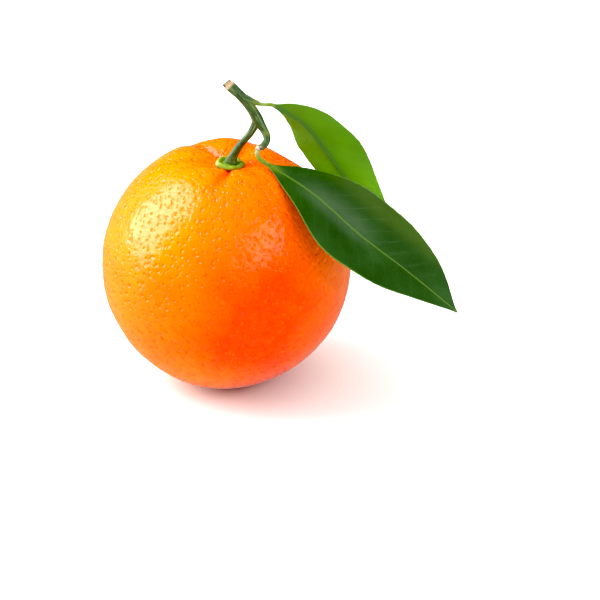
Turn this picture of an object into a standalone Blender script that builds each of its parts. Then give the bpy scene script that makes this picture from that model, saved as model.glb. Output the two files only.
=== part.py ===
"""A whole orange as picked: fruit, calyx, twig, and two leaves on their petioles.

The fruit stands on a small flat spot. The origin is the middle of that spot, +Z is up, and the
leaves lie towards +X. Lengths are metres, written as millimetres times MM.
"""

import math

import bmesh
import bpy
import numpy as np

MM = 0.001
GAP = 0.3 * MM

# Fruit
FRUIT_RADIUS = 40.0 * MM
FRUIT_POLAR_RADIUS = 39.6 * MM
FRUIT_CENTRE_HEIGHT = 38.4 * MM
FRUIT_LEAN = math.radians(2.8)
FRUIT_SEGMENTS = 72
FRUIT_RINGS = 44
DIMPLE_DEPTH = 5.6 * MM
DIMPLE_REACH = 10.5 * MM
SHOULDER_HEIGHT = 0.95 * MM
SHOULDER_REACH = 18.0 * MM
SHOULDER_WIDTH = 9.0 * MM
FURROW_ANGLES = (10, 66, 129, 158, 186, 215, 259, 306, 338)
FURROW_DEPTH = 0.9 * MM
FURROW_REACH = 9.5 * MM
FURROW_SHARPNESS = 14.0
LUMP_HEIGHT = 0.35 * MM

# Calyx
CALYX_RADIUS = 4.6 * MM
CALYX_THICKNESS = 1.6 * MM
CALYX_LOBES = 5
CALYX_LOBE_DEPTH = 0.06

# Twig: each point is x, y, z and the wood's radius there, in millimetres
STEM_POINTS = (
    (0.6, 2.6, 99.9, 1.70),
    (2.3, 2.0, 98.4, 1.65),
    (4.7, 1.2, 96.4, 1.45),
    (7.3, 0.6, 93.9, 1.40),
    (9.5, 0.2, 91.0, 1.50),
    (11.0, -0.2, 88.0, 1.60),
    (12.5, -1.0, 85.7, 1.25),
    (13.6, -2.0, 84.0, 1.10),
    (13.8, -3.0, 82.6, 1.05),
    (12.6, -4.0, 81.5, 1.10),
    (11.7, -4.7, 80.9, 1.00),
)
STALK_POINTS = (
    (10.8, -0.1, 87.6, 1.35),
    (9.3, 0.0, 84.9, 1.10),
    (7.7, 0.0, 83.0, 1.05),
    (5.3, 0.0, 80.1, 1.10),
    (3.5, 0.0, 77.4, 1.28),
    (2.4, 0.0, 74.9, 1.55),
)
TWIG_POINT_SPACING = 1.1 * MM
TWIG_BEVEL_RESOLUTION = 4
CUT_POINT = (1.3, 2.35, 99.3)
CUT_NORMAL = (-0.52, -0.30, 0.80)

# Petioles, in the same four columns
PETIOLE_FRONT_POINTS = (
    (11.2, -5.2, 80.4, 0.75),
    (10.5, -6.0, 79.1, 0.70),
    (10.9, -6.4, 78.0, 0.75),
    (12.6, -7.2, 76.95, 0.75),
)
PETIOLE_BACK_POINTS = (
    (10.2, 0.1, 93.8, 0.72),
    (11.7, 0.2, 93.3, 0.58),
    (13.3, 0.4, 93.1, 0.56),
    (15.2, 0.6, 92.9, 0.62),
)
PETIOLE_BEVEL_RESOLUTION = 3

# Leaf blades
FRONT_MIDRIB = ((12.3, -7.1, 77.1), (27.6, -13.6, 69.2), (42.2, -21.1, 58.5), (57.4, -28.3, 49.0), (71.3, -37.7, 40.6))
FRONT_HALF_WIDTH = 17.2 * MM
FRONT_TAPER = (1.07, 1.08)
FRONT_FOLD = math.radians(9.0)
FRONT_ROLL = (math.radians(8.5), math.radians(9.0))
BACK_MIDRIB = ((15.4, 0.7, 92.9), (24.6, 2.2, 85.9), (31.5, 3.8, 76.3), (40.2, 7.6, 61.9), (54.8, 15.9, 40.7))
BACK_HALF_WIDTH = 12.9 * MM
BACK_TAPER = (0.84, 0.84)
BACK_FOLD = math.radians(14.5)
BACK_ROLL = (math.radians(-33.5), math.radians(-38.0))
BLADE_THICKNESS = 0.6 * MM
BLADE_TIP_HALF_WIDTH = 0.5 * MM
BLADE_START = 0.012
BLADE_CELLS_ALONG = 26
BLADE_CELLS_ACROSS = 8


def clear_scene():
    """Remove what the file opened with."""
    for thing in list(bpy.data.objects):
        bpy.data.objects.remove(thing, do_unlink=True)


def new_collection(name):
    collection = bpy.data.collections.new(name)
    bpy.context.scene.collection.children.link(collection)
    return collection


def make_material(name, color, roughness):
    """A Principled material with one colour."""
    material = bpy.data.materials.new(name)
    material.use_nodes = True
    shader = material.node_tree.nodes["Principled BSDF"]
    shader.inputs["Base Color"].default_value = (*color, 1.0)
    shader.inputs["Roughness"].default_value = roughness
    shader.inputs["Metallic"].default_value = 0.0
    return material


def adopt(thing, name, collection, material):
    """Name an object, give it its material and move it to its collection."""
    thing.name = name
    thing.data.name = name
    thing.data.materials.clear()
    thing.data.materials.append(material)
    for owner in list(thing.users_collection):
        owner.objects.unlink(thing)
    collection.objects.link(thing)
    return thing


def vertex_positions(mesh):
    places = np.empty(len(mesh.vertices) * 3)
    mesh.vertices.foreach_get("co", places)
    return places.reshape(-1, 3)


def move_vertices(mesh, places):
    mesh.vertices.foreach_set("co", np.asarray(places, dtype=float).ravel())
    mesh.update()


def furrow_depth(angle, reach):
    """Depth of the creases that run out from the stem end, deepest partway down the dimple."""
    depth = np.zeros_like(reach)
    for number, degrees in enumerate(FURROW_ANGLES):
        strength = 0.65 + 0.35 * math.cos(2.4 * number)
        away = 1.0 - np.cos(angle - math.radians(degrees))
        depth += strength * np.exp(-FURROW_SHARPNESS * away)
    ratio = reach / FURROW_REACH
    return FURROW_DEPTH * depth * ratio * np.exp(0.5 - 0.5 * ratio**2)


def fruit_distance(direction):
    """Distance from the fruit's centre to its skin along unit directions, in the fruit's own axes."""
    across = np.hypot(direction[:, 0], direction[:, 1])
    height = direction[:, 2]
    angle = np.arctan2(direction[:, 1], direction[:, 0])
    spheroid = 1.0 / np.sqrt((across / FRUIT_RADIUS) ** 2 + (height / FRUIT_POLAR_RADIUS) ** 2)
    reach = spheroid * across
    top = 1.0 / (1.0 + np.exp(-20.0 * height))
    dimple = DIMPLE_DEPTH * np.exp(-((reach / DIMPLE_REACH) ** 2))
    shoulder = SHOULDER_HEIGHT * np.exp(-(((reach - SHOULDER_REACH) / SHOULDER_WIDTH) ** 2))
    lumps = LUMP_HEIGHT * across**2 * (np.sin(3.0 * angle + 0.6) + np.sin(2.0 * angle + 2.0) * height)
    return spheroid + lumps + top * (shoulder - dimple - furrow_depth(angle, reach))


def lean_and_lift(places):
    """Turn points about the fruit's centre by its lean towards +X, then lift them to its height."""
    cosine = math.cos(FRUIT_LEAN)
    sine = math.sin(FRUIT_LEAN)
    x = places[:, 0] * cosine + places[:, 2] * sine
    z = places[:, 2] * cosine - places[:, 0] * sine
    return np.stack([x, places[:, 1], z + FRUIT_CENTRE_HEIGHT], axis=1)


def build_fruit(collection):
    """A ball reshaped by fruit_distance, cut flat where it rests."""
    bpy.ops.mesh.primitive_uv_sphere_add(segments=FRUIT_SEGMENTS, ring_count=FRUIT_RINGS, radius=1.0)
    fruit = bpy.context.object
    direction = vertex_positions(fruit.data)
    direction /= np.linalg.norm(direction, axis=1)[:, None]
    move_vertices(fruit.data, lean_and_lift(direction * fruit_distance(direction)[:, None]))
    shape = bmesh.new()
    shape.from_mesh(fruit.data)
    everything = shape.verts[:] + shape.edges[:] + shape.faces[:]
    cut = bmesh.ops.bisect_plane(
        shape, geom=everything, dist=1e-6, plane_co=(0, 0, 0), plane_no=(0, 0, 1), clear_inner=True
    )
    rim = [item for item in cut["geom_cut"] if isinstance(item, bmesh.types.BMEdge)]
    bmesh.ops.edgeloop_fill(shape, edges=rim)
    bmesh.ops.recalc_face_normals(shape, faces=shape.faces[:])
    shape.to_mesh(fruit.data)
    shape.free()
    fruit.data.shade_smooth()
    fruit.data.set_sharp_from_angle(angle=math.radians(40))
    return adopt(fruit, "fruit", collection, make_material("rind", (0.95, 0.22, 0.01), 0.38))


def build_calyx(collection):
    """A lobed lens that lies in the dimple, its underside a gap above the skin."""
    bpy.ops.mesh.primitive_uv_sphere_add(segments=40, ring_count=12, radius=1.0)
    calyx = bpy.context.object
    unit = vertex_positions(calyx.data)
    angle = np.arctan2(unit[:, 1], unit[:, 0])
    across = np.hypot(unit[:, 0], unit[:, 1])
    reach = across * CALYX_RADIUS * (1.0 + CALYX_LOBE_DEPTH * np.cos(CALYX_LOBES * angle + 0.8))
    tilt = np.arcsin(np.clip(reach / (FRUIT_POLAR_RADIUS - DIMPLE_DEPTH), -1.0, 1.0))
    direction = np.stack([np.sin(tilt) * np.cos(angle), np.sin(tilt) * np.sin(angle), np.cos(tilt)], axis=1)
    skin = direction * fruit_distance(direction)[:, None]
    rise = GAP + CALYX_THICKNESS * np.clip(unit[:, 2], 0.0, None)
    skin[:, 2] += rise
    move_vertices(calyx.data, lean_and_lift(skin))
    calyx.data.shade_smooth()
    return adopt(calyx, "calyx", collection, make_material("calyx", (0.32, 0.42, 0.10), 0.6))


def smooth_path(points, parameter):
    """A Catmull-Rom curve through the points, read at parameters from 0 to 1."""
    points = np.asarray(points, dtype=float)
    spans = len(points) - 1
    place = np.clip(parameter, 0.0, 1.0) * spans
    first = np.clip(np.floor(place).astype(int), 0, spans - 1)
    part = (place - first)[:, None]
    padded = np.vstack([2 * points[0] - points[1], points, 2 * points[-1] - points[-2]])
    a, b, c, d = (padded[first + step] for step in range(4))
    cubic = 3 * b - a - 3 * c + d
    return 0.5 * (2 * b + (c - a) * part + (2 * a - 5 * b + 4 * c - d) * part**2 + cubic * part**3)


def tube(name, points, bevel_resolution):
    """A capped curve object along a smooth path, as thick as the points' fourth column says."""
    points = np.asarray(points) * MM
    length = np.linalg.norm(np.diff(points[:, :3], axis=0), axis=1).sum()
    count = max(5, round(length / TWIG_POINT_SPACING) + 1)
    route = smooth_path(points, np.linspace(0.0, 1.0, count))
    data = bpy.data.curves.new(name, "CURVE")
    data.dimensions = "3D"
    data.bevel_depth = MM
    data.bevel_resolution = bevel_resolution
    data.use_fill_caps = True
    data.twist_mode = "MINIMUM"
    spline = data.splines.new("POLY")
    spline.points.add(count - 1)
    spline.points.foreach_set("co", np.insert(route[:, :3], 3, 1.0, axis=1).ravel())
    spline.points.foreach_set("radius", route[:, 3] / MM)
    return bpy.data.objects.new(name, data)


def tube_as_mesh(name, points, collection):
    """The tube's evaluated mesh with its caps welded, as an object of its own."""
    curve = tube(name + "_curve", points, TWIG_BEVEL_RESOLUTION)
    collection.objects.link(curve)
    bpy.context.view_layer.update()
    mesh = bpy.data.meshes.new_from_object(curve.evaluated_get(bpy.context.evaluated_depsgraph_get()))
    shape = bmesh.new()
    shape.from_mesh(mesh)
    bmesh.ops.remove_doubles(shape, verts=shape.verts[:], dist=1e-6)
    shape.to_mesh(mesh)
    shape.free()
    thing = bpy.data.objects.new(name, mesh)
    thing.matrix_world = curve.matrix_world
    collection.objects.link(thing)
    bpy.data.objects.remove(curve, do_unlink=True)
    return thing


def build_twig(collection, cutters):
    """The stem with its side spur, joined to the fruit's stalk at the fork, its top end cut aslant."""
    stem = tube_as_mesh("twig", STEM_POINTS, collection)
    shape = bmesh.new()
    shape.from_mesh(stem.data)
    everything = shape.verts[:] + shape.edges[:] + shape.faces[:]
    place = [value * MM for value in CUT_POINT]
    cut = bmesh.ops.bisect_plane(
        shape, geom=everything, dist=1e-7, plane_co=place, plane_no=CUT_NORMAL, clear_outer=True
    )
    rim = [item for item in cut["geom_cut"] if isinstance(item, bmesh.types.BMEdge)]
    bmesh.ops.edgeloop_fill(shape, edges=rim)
    bmesh.ops.recalc_face_normals(shape, faces=shape.faces[:])
    shape.to_mesh(stem.data)
    shape.free()
    stalk = tube_as_mesh("twig_stalk", STALK_POINTS, cutters)
    stalk.hide_render = True
    stalk.display_type = "WIRE"
    union = stem.modifiers.new("stalk", "BOOLEAN")
    union.operation = "UNION"
    union.solver = "EXACT"
    union.object = stalk
    stem.data.shade_smooth()
    return adopt(stem, "twig", collection, make_material("bark", (0.08, 0.15, 0.07), 0.55))


def build_petiole(name, points, color, collection):
    """A leaf stalk: a slim tapering tube."""
    petiole = tube(name, points, PETIOLE_BEVEL_RESOLUTION)
    return adopt(petiole, name, collection, make_material(name, color, 0.5))


def build_blade(name, midrib, half_width, taper, fold, roll, color, collection):
    """A leaf blade: a grid swept along its midrib, folded up on both sides, then thickened.

    The half width at a share u of the length is half_width * sin(pi * u ** taper[0]) ** taper[1].
    """
    bpy.ops.mesh.primitive_grid_add(
        x_subdivisions=BLADE_CELLS_ACROSS, y_subdivisions=BLADE_CELLS_ALONG, size=2.0
    )
    blade = bpy.context.object
    flat = vertex_positions(blade.data)
    side = flat[:, 0]
    share = BLADE_START + (1.0 - BLADE_START) * (flat[:, 1] + 1.0) / 2.0
    points = np.asarray(midrib) * MM
    step = 0.001
    centre = smooth_path(points, share)
    ahead = smooth_path(points, np.minimum(share + step, 1.0)) - smooth_path(points, share - step)
    ahead /= np.linalg.norm(ahead, axis=1)[:, None]
    up = np.array([0.0, 0.0, 1.0]) - ahead[:, 2:3] * ahead
    up /= np.linalg.norm(up, axis=1)[:, None]
    turn = (roll[0] + (roll[1] - roll[0]) * share)[:, None]
    up = up * np.cos(turn) + np.cross(ahead, up) * np.sin(turn)
    across = np.cross(ahead, up)
    swell = np.clip(np.sin(math.pi * np.clip(share, 0.0, 1.0) ** taper[0]), 0.0, None) ** taper[1]
    reach = np.maximum(half_width * swell, BLADE_TIP_HALF_WIDTH)
    outward = across * (side * reach * math.cos(fold))[:, None]
    upward = up * (np.abs(side) * reach * math.sin(fold))[:, None]
    move_vertices(blade.data, centre + outward + upward)
    blade.data.shade_smooth()
    solid = blade.modifiers.new("thickness", "SOLIDIFY")
    solid.thickness = BLADE_THICKNESS
    solid.offset = 0.0
    return adopt(blade, name, collection, make_material(name, color, 0.4))


def main():
    clear_scene()
    orange = new_collection("orange")
    cutters = new_collection("joined_shapes")
    build_fruit(orange)
    build_calyx(orange)
    build_twig(orange, cutters)
    build_petiole("petiole_front", PETIOLE_FRONT_POINTS, (0.22, 0.35, 0.08), orange)
    build_petiole("petiole_back", PETIOLE_BACK_POINTS, (0.30, 0.42, 0.05), orange)
    build_blade(
        "leaf_front", FRONT_MIDRIB, FRONT_HALF_WIDTH, FRONT_TAPER, FRONT_FOLD, FRONT_ROLL,
        (0.02, 0.08, 0.01), orange,
    )
    build_blade(
        "leaf_back", BACK_MIDRIB, BACK_HALF_WIDTH, BACK_TAPER, BACK_FOLD, BACK_ROLL,
        (0.12, 0.32, 0.01), orange,
    )


if __name__ == "__main__":
    main()
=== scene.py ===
"""A whole orange as picked, with its calyx, its woody twig and two leaves, on a pale studio floor."""

import math

import bpy
import numpy as np
from bpy.props import FloatProperty, FloatVectorProperty, IntProperty, PointerProperty
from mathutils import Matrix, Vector


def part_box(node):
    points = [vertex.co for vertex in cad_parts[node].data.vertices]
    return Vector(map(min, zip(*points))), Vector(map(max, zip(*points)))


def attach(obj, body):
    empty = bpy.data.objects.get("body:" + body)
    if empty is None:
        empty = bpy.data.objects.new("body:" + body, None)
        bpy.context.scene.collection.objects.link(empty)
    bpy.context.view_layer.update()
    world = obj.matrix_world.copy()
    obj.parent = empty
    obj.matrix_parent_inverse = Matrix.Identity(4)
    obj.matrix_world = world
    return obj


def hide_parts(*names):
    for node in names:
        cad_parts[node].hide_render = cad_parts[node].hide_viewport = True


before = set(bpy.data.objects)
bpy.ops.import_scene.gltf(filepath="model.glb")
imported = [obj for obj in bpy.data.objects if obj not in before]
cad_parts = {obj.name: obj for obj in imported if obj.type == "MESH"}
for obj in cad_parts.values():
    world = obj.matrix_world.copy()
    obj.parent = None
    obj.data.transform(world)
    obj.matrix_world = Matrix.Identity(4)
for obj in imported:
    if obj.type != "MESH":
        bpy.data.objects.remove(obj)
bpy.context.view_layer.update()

bl_info = {
    "name": "Whole Orange",
    "version": (1, 0, 0),
    "blender": (4, 5, 0),
    "location": "View3D > Sidebar > Orange",
    "description": "Builds a whole orange with its calyx, twig and leaves around its packed frame",
    "category": "Add Mesh",
}

MM = 0.001
BODY = "root"


# Points are compared with each other in blocks of this many, which bounds the memory that takes.
BLOCK = 4096


# -------- places read from the frame

def corners(node):
    """A node's lowest and highest corners as arrays."""
    low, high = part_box(node)
    return np.array(low), np.array(high)


FRUIT_LOW, FRUIT_HIGH = corners("fruit")
CALYX_LOW, CALYX_HIGH = corners("calyx")
# The fruit is a little lower than wide, and this share of its lower half is pressed flat to stand on.
POLAR_SHARE = 0.99
SUNK_SHARE = 0.0303
FRUIT_RADIUS = float((FRUIT_HIGH - FRUIT_LOW)[:2].mean() / 2.0)
FRUIT_MIDDLE = np.array([0.0, 0.0, FRUIT_RADIUS * POLAR_SHARE * (1.0 - SUNK_SHARE)])
CROWN = np.append((CALYX_LOW + CALYX_HIGH)[:2] / 2.0, CALYX_LOW[2])
FRUIT_LEAN = math.atan2(CROWN[0], CROWN[2] - FRUIT_MIDDLE[2])
CALYX_RADIUS = float((CALYX_HIGH - CALYX_LOW)[:2].mean() / 2.0)


# -------- numbers worked on as whole arrays

def unit(vectors):
    """Vectors divided by their lengths."""
    return vectors / np.linalg.norm(vectors, axis=-1, keepdims=True)


def bell(distance, width):
    """1 at no distance, falling as a Gaussian of the given width."""
    return np.exp(-((distance / width) ** 2))


def spoke(angle, sharpness):
    """A bump of 1 at no angle that comes back each turn: exp(-sharpness * (1 - cos(angle)))."""
    return np.exp(-sharpness * (1.0 - np.cos(angle)))


def full_turn(count):
    """Angles at even steps round a full turn."""
    return np.arange(count) * 2.0 * math.pi / count


def blocks(count):
    """Slices that cut a long array into blocks."""
    return [slice(start, start + BLOCK) for start in range(0, count, BLOCK)]


def leaned(points):
    """Points about the fruit's middle and own axis, leant as the fruit leans and moved to its place."""
    cosine, sine = math.cos(FRUIT_LEAN), math.sin(FRUIT_LEAN)
    return points @ np.array([[cosine, 0.0, -sine], [0.0, 1.0, 0.0], [sine, 0.0, cosine]]) + FRUIT_MIDDLE


def ramp(value, low, high):
    """0 below low and 1 above high, with a smooth step between."""
    share = np.clip((value - low) / (high - low), 0.0, 1.0)
    return share * share * (3.0 - 2.0 * share)


def random_field(points, wavelength, seed, waves=40):
    """A smooth random height of about -1 to 1: a sum of sine waves of like length in random directions."""
    draw = np.random.default_rng(seed)
    heading = unit(draw.normal(size=(waves, 3)))
    pitch = wavelength * draw.uniform(0.7, 1.4, size=(waves, 1))
    phase = draw.uniform(0.0, 2.0 * math.pi, size=waves)
    return np.sin(points @ (heading / pitch).T * 2.0 * math.pi + phase).sum(axis=1) / math.sqrt(2.0 * waves)


def smooth_path(points, share):
    """A Catmull-Rom curve: each span between two points is the cubic that their neighbours' chords steer."""
    points = np.asarray(points, dtype=float)
    spans = len(points) - 1
    place = np.clip(share, 0.0, 1.0) * spans
    first = np.clip(np.floor(place).astype(int), 0, spans - 1)
    part = (place - first)[:, None]
    padded = np.vstack([2 * points[0] - points[1], points, 2 * points[-1] - points[-2]])
    a, b, c, d = (padded[first + step] for step in range(4))
    cubic = 3 * b - a - 3 * c + d
    return 0.5 * (2 * b + (c - a) * part + (2 * a - 5 * b + 4 * c - d) * part**2 + cubic * part**3)


def path_frames(centre, upright):
    """Unit vectors along a path, towards upright as far as that is square to the path, and across both."""
    ahead = unit(np.gradient(centre, axis=0))
    upright = np.asarray(upright, dtype=float)
    up = unit(upright - (ahead @ upright)[:, None] * ahead)
    return ahead, up, np.cross(ahead, up)


def path_length(centre):
    """Distance along a path at each of its points."""
    steps = np.linalg.norm(np.diff(centre, axis=0), axis=1)
    return np.concatenate([[0.0], np.cumsum(steps)])


# -------- meshes

def make_mesh(name, points, faces, attributes=None):
    """An object with a smooth mesh and its point attributes, in the scene's collection."""
    mesh = bpy.data.meshes.new(name)
    mesh.from_pydata(points.tolist(), [], faces)
    add_attributes(mesh, attributes or {})
    mesh.shade_smooth()
    mesh.update()
    thing = bpy.data.objects.new(name, mesh)
    bpy.context.scene.collection.objects.link(thing)
    return thing


def add_attributes(mesh, attributes):
    """Store one number or one vector for each point, under the names given."""
    for name, values in attributes.items():
        values = np.asarray(values, dtype=np.float32)
        kind, field = ("FLOAT_VECTOR", "vector") if values.ndim == 2 else ("FLOAT", "value")
        mesh.attributes.new(name, kind, "POINT").data.foreach_set(field, values.ravel())


def skin_rings(rings, first=0):
    """Points and faces of a closed skin through rings: quads from ring to ring, a fan at each end.

    Each ring runs anticlockwise about the way from the first ring to the last, so faces point outwards.
    """
    count, around = rings.shape[:2]
    points = np.vstack([rings.reshape(-1, 3), rings[0].mean(axis=0), rings[-1].mean(axis=0)])
    row = np.arange(count - 1)[:, None] * around
    step = np.arange(around)[None, :]
    after = (step + 1) % around
    quads = np.stack([row + step, row + after, row + around + after, row + around + step], axis=-1)
    last = (count - 1) * around
    start_fan = np.stack([np.full(around, count * around), after[0], step[0]], axis=-1)
    end_fan = np.stack([np.full(around, count * around + 1), last + step[0], last + after[0]], axis=-1)
    faces = (quads.reshape(-1, 4) + first).tolist()
    return points, faces + (start_fan + first).tolist() + (end_fan + first).tolist()


def with_ends(values):
    """A value for each ring point, and for the two end points that skin_rings adds."""
    flat = values.reshape(-1, *values.shape[2:])
    return np.concatenate([flat, values[:1].mean(axis=1), values[-1:].mean(axis=1)])


def tube_rings(route, half_width, around, upright, wobble=1.0):
    """Rings of a tube: a circle of the given half width at each path point, widened or narrowed by wobble."""
    ahead, up, across = path_frames(route, upright)
    angle = full_turn(around)
    reach = np.broadcast_to(half_width[:, None] * wobble, (len(route), around))[..., None]
    turn = up[:, None] * np.cos(angle)[:, None] + across[:, None] * np.sin(angle)[:, None]
    return route[:, None] + turn * reach


def finish_piece(piece, node, material):
    """Give a piece its material, put it on the body and let it stand for its node."""
    piece.data.materials.clear()
    piece.data.materials.append(material)
    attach(piece, BODY)
    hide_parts(node)
    return piece


# -------- shaders written as expressions

def shade(tone, share, lift=0.0):
    """A tone made darker or lighter by a share, then lifted by a step."""
    return tuple(min(1.0, part * share + lift) for part in tone)



def maths_method(operation, swapped=False):
    """A method that adds a Math node on a Signal and another value, in the other order if swapped."""
    def method(self, other):
        return self.maths(operation, *((other, self) if swapped else (self, other)))
    return method


class Signal:
    """A shader socket on which arithmetic works: each operator adds a Math node to its tree."""

    __add__ = maths_method("ADD")
    __radd__ = maths_method("ADD", swapped=True)
    __sub__ = maths_method("SUBTRACT")
    __rsub__ = maths_method("SUBTRACT", swapped=True)
    __mul__ = maths_method("MULTIPLY")
    __truediv__ = maths_method("DIVIDE")
    __pow__ = maths_method("POWER")
    at_least = maths_method("MAXIMUM")

    def __init__(self, shader, socket):
        self.shader = shader
        self.socket = socket

    def maths(self, operation, *values):
        return self.shader.node("ShaderNodeMath", {"operation": operation}, dict(enumerate(values)))

    def absolute(self):
        return self.maths("ABSOLUTE", self)

    def fraction(self):
        return self.maths("FRACT", self)

    def step(self, low, high):
        """0 at low and 1 at high, smoothly, whichever of them is larger."""
        settings = {"interpolation_type": "SMOOTHSTEP"}
        sockets = {"Value": self, "From Min": low, "From Max": high}
        return self.shader.node("ShaderNodeMapRange", settings, sockets)


class Shader:
    """The nodes of a new material, or of a new world, built one by one."""

    def __init__(self, name, world=False):
        self.owner = (bpy.data.worlds if world else bpy.data.materials).new(name)
        self.owner.use_nodes = True
        self.tree = self.owner.node_tree
        self.tree.nodes.clear()
        output = "ShaderNodeOutputWorld" if world else "ShaderNodeOutputMaterial"
        self.output = self.tree.nodes.new(output)
        self.place = self.node("ShaderNodeTexCoord", {}, {}, "Generated" if world else "Object")

    def node(self, kind, settings, sockets, output=0):
        """Add a node: its settings are set first, then its sockets' values or links."""
        made = self.tree.nodes.new(kind)
        for key, value in settings.items():
            setattr(made, key, value)
        for key, value in sockets.items():
            if isinstance(value, Signal):
                self.tree.links.new(value.socket, made.inputs[key])
            else:
                made.inputs[key].default_value = value
        return Signal(self, made.outputs[output])

    def mix(self, first, second, factor):
        """Two colours mixed by a factor."""
        colours = [(*c, 1.0) if isinstance(c, tuple) else c for c in (first, second)]
        settings = {"data_type": "RGBA", "clamp_factor": True}
        return self.node("ShaderNodeMix", settings, {0: factor, 6: colours[0], 7: colours[1]}, 2)

    def painted(self, tone, *layers):
        """A tone with colours laid over it in turn, each with a factor of its own."""
        for colour, factor in layers:
            tone = self.mix(tone, colour, factor)
        return tone

    def noise(self, scale, detail=3.0, roughness=0.5, place=None):
        """Cloudy noise, 0 to 1, with scale bumps a metre."""
        sockets = {"Vector": place or self.place, "Scale": scale, "Detail": detail, "Roughness": roughness}
        return self.node("ShaderNodeTexNoise", {"noise_dimensions": "3D"}, sockets)

    def cells(self, scale, feature="F1", output="Distance"):
        """Distance from the middle, or the edge, of random cells, or each cell's random colour."""
        sockets = {"Vector": self.place, "Scale": scale}
        return self.node("ShaderNodeTexVoronoi", {"feature": feature}, sockets, output)

    def attribute(self, name, output="Fac"):
        """A value stored on the mesh's points."""
        return self.node("ShaderNodeAttribute", {"attribute_name": name}, {}, output)

    def measure(self, operation, *vectors):
        """A number that Vector Math finds from one or two vectors, such as a length."""
        return self.node("ShaderNodeVectorMath", {"operation": operation}, dict(enumerate(vectors)), "Value")

    def distance(self, point):
        """Distance in metres from a point of the part."""
        return self.measure("DISTANCE", self.place, tuple(point))

    def near(self, point, far, close):
        """1 within the close distance of a point and 0 beyond the far one, all in millimetres."""
        return self.distance(np.array(point) * MM).step(far * MM, close * MM)

    def part_of(self, vector, axis):
        """The x, y or z of a vector."""
        return self.node("ShaderNodeSeparateXYZ", {}, {0: vector}, "XYZ".index(axis))

    def bump(self, height):
        """A normal tilted by a height in metres."""
        return self.node("ShaderNodeBump", {}, {"Height": height, "Distance": 1.0, "Strength": 1.0})

    def principled(self, **sockets):
        """The Principled BSDF, with socket names in lower case and underscores for spaces."""
        named = {}
        for key, value in sockets.items():
            key = key.replace("_", " ").title().replace("Ior", "IOR")
            named[key] = (*value, 1.0) if key.endswith("Color") and isinstance(value, tuple) else value
        return self.node("ShaderNodeBsdfPrincipled", {}, named)

    def mix_shader(self, first, second, factor):
        """Two surfaces mixed by a factor."""
        return self.node("ShaderNodeMixShader", {}, {0: factor, 1: first, 2: second})

    def finish(self, surface):
        """Join the surface to the output and return the material or world."""
        self.tree.links.new(surface.socket, self.output.inputs["Surface"])
        return self.owner


# -------- kinds of setting

def number_property(name, description, default, **limits):
    """A number that a user may change."""
    return FloatProperty(name=name, description=description, default=default, **limits)


def length_property(name, description, default, **limits):
    """A length that a user may change."""
    return number_property(name, description, default, unit="LENGTH", **limits)


def colour_property(name, description, default):
    """A colour that a user may change."""
    return FloatVectorProperty(
        name=name, description=description, default=default, min=0.0, max=1.0, subtype="COLOR",
    )


# -------- fruit

FRUIT_CELLS = 129
DIMPLE_DEPTH = 0.14 * FRUIT_RADIUS
DIMPLE_REACH = 0.2625 * FRUIT_RADIUS
SHOULDER_HEIGHT = 0.024 * FRUIT_RADIUS
SHOULDER_REACH = 0.45 * FRUIT_RADIUS
SHOULDER_WIDTH = 0.225 * FRUIT_RADIUS
# Each crease has its angle in degrees and its depth as a share of CREASE_DEPTH.
CREASES = (
    (10, 0.7), (66, 0.8), (129, 2.1), (158, 0.3), (186, 0.7), (215, 0.4), (263, 2.0), (306, 0.6), (338, 0.6),
)
CREASE_DEPTH = 0.030 * FRUIT_RADIUS
CREASE_REACH = 0.22 * FRUIT_RADIUS
CREASE_WANDER = 0.07
CREASE_WAVE = 3.4 * MM
# The sharpness in angle of a crease's broad bump and of its narrow one.
BROAD_CREASE = 11.0
SHARP_CREASE = 110.0
# Each ridge has its angle in degrees, its height in millimetres, and its reach and width in radii.
RIDGE_SHARPNESS = 20.0
RIDGES = (
    (97, 0.85, 0.35, 0.20),
    (163, 0.25, 0.30, 0.15),
    (236, 0.30, 0.28, 0.12),
    (283, 1.20, 0.26, 0.09),
    (345, 0.30, 0.24, 0.10),
    (38, 0.80, 0.30, 0.14),
)
# The flat of the far shoulder: where its middle lies, how deep it is and how wide.
FLAT_ANGLE = math.radians(38.0)
FLAT_REACH = 0.64 * FRUIT_RADIUS
FLAT_DEPTH = 1.5 * MM
FLAT_WIDTH = 9.5 * MM
WRINKLE_COUNT = 26
WRINKLE_DEPTH = 0.22 * MM
WRINKLE_LENGTH = 2.6 * MM
WRINKLE_SLANT = 18.0
LUMP_SHARE = 0.00875
# Each swelling of the rind has its height and its wavelength.
BROAD_SWELLING = (0.16 * MM, 17 * MM)
SMALL_SWELLING = (0.05 * MM, 6.5 * MM)
PEBBLE_LENGTH = 2.0 * MM
# Pores lie about as close as packed circles: each takes up this share of the spacing squared.
PACKED_AREA = 0.866
PORE_JITTER = 0.34
# The large pores have widths between these, in millimetres.
PORE_SIZES = (0.36, 0.62)
PORE_SPREAD = 1.05
GOLDEN_ANGLE = math.pi * (3.0 - math.sqrt(5.0))
FRECKLE_TONE = (1.0, 0.26, 0.01)
# Painted shade laid into the creases and wrinkles of the crown.
CREASE_SHADE_TONE = (0.90, 0.055, 0.0)
BLOSSOM_SCAR_TONE = (0.20, 0.09, 0.02)


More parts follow.
